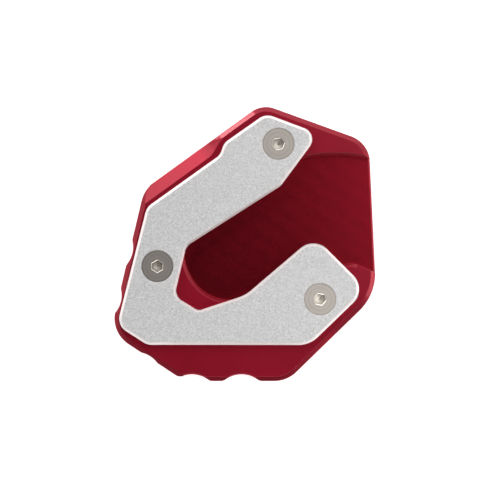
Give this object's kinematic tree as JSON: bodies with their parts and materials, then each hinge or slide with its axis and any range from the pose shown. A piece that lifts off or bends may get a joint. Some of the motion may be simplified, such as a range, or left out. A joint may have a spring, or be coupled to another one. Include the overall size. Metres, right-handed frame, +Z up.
{
  "type": "kickstand foot enlarger",
  "caption": "Wide foot for a motorcycle side stand: a bevelled anodised base plate with an open pocket, and a C-shaped clamp plate held on it by countersunk screws.",
  "frame": {"origin": "centre of the bounding box, on the underside that stands on the ground", "axes": "+Z up through the clamp plate, +X towards the open mouth of the pocket, +Y towards the narrow nose"},
  "size_m": [0.1012, 0.1062, 0.017],
  "materials": {
    "base_plate": "milled and anodised dark red, satin",
    "clamp_plate": "bead blasted and anodised natural, with bright cut chamfers",
    "clamp_screws": "turned stainless steel"
  },
  "bodies": {
    "root": {"base_plate": "base_plate", "clamp_plate": "clamp_plate", "clamp_screws": "clamp_screws"}
  },
  "joints": []
}
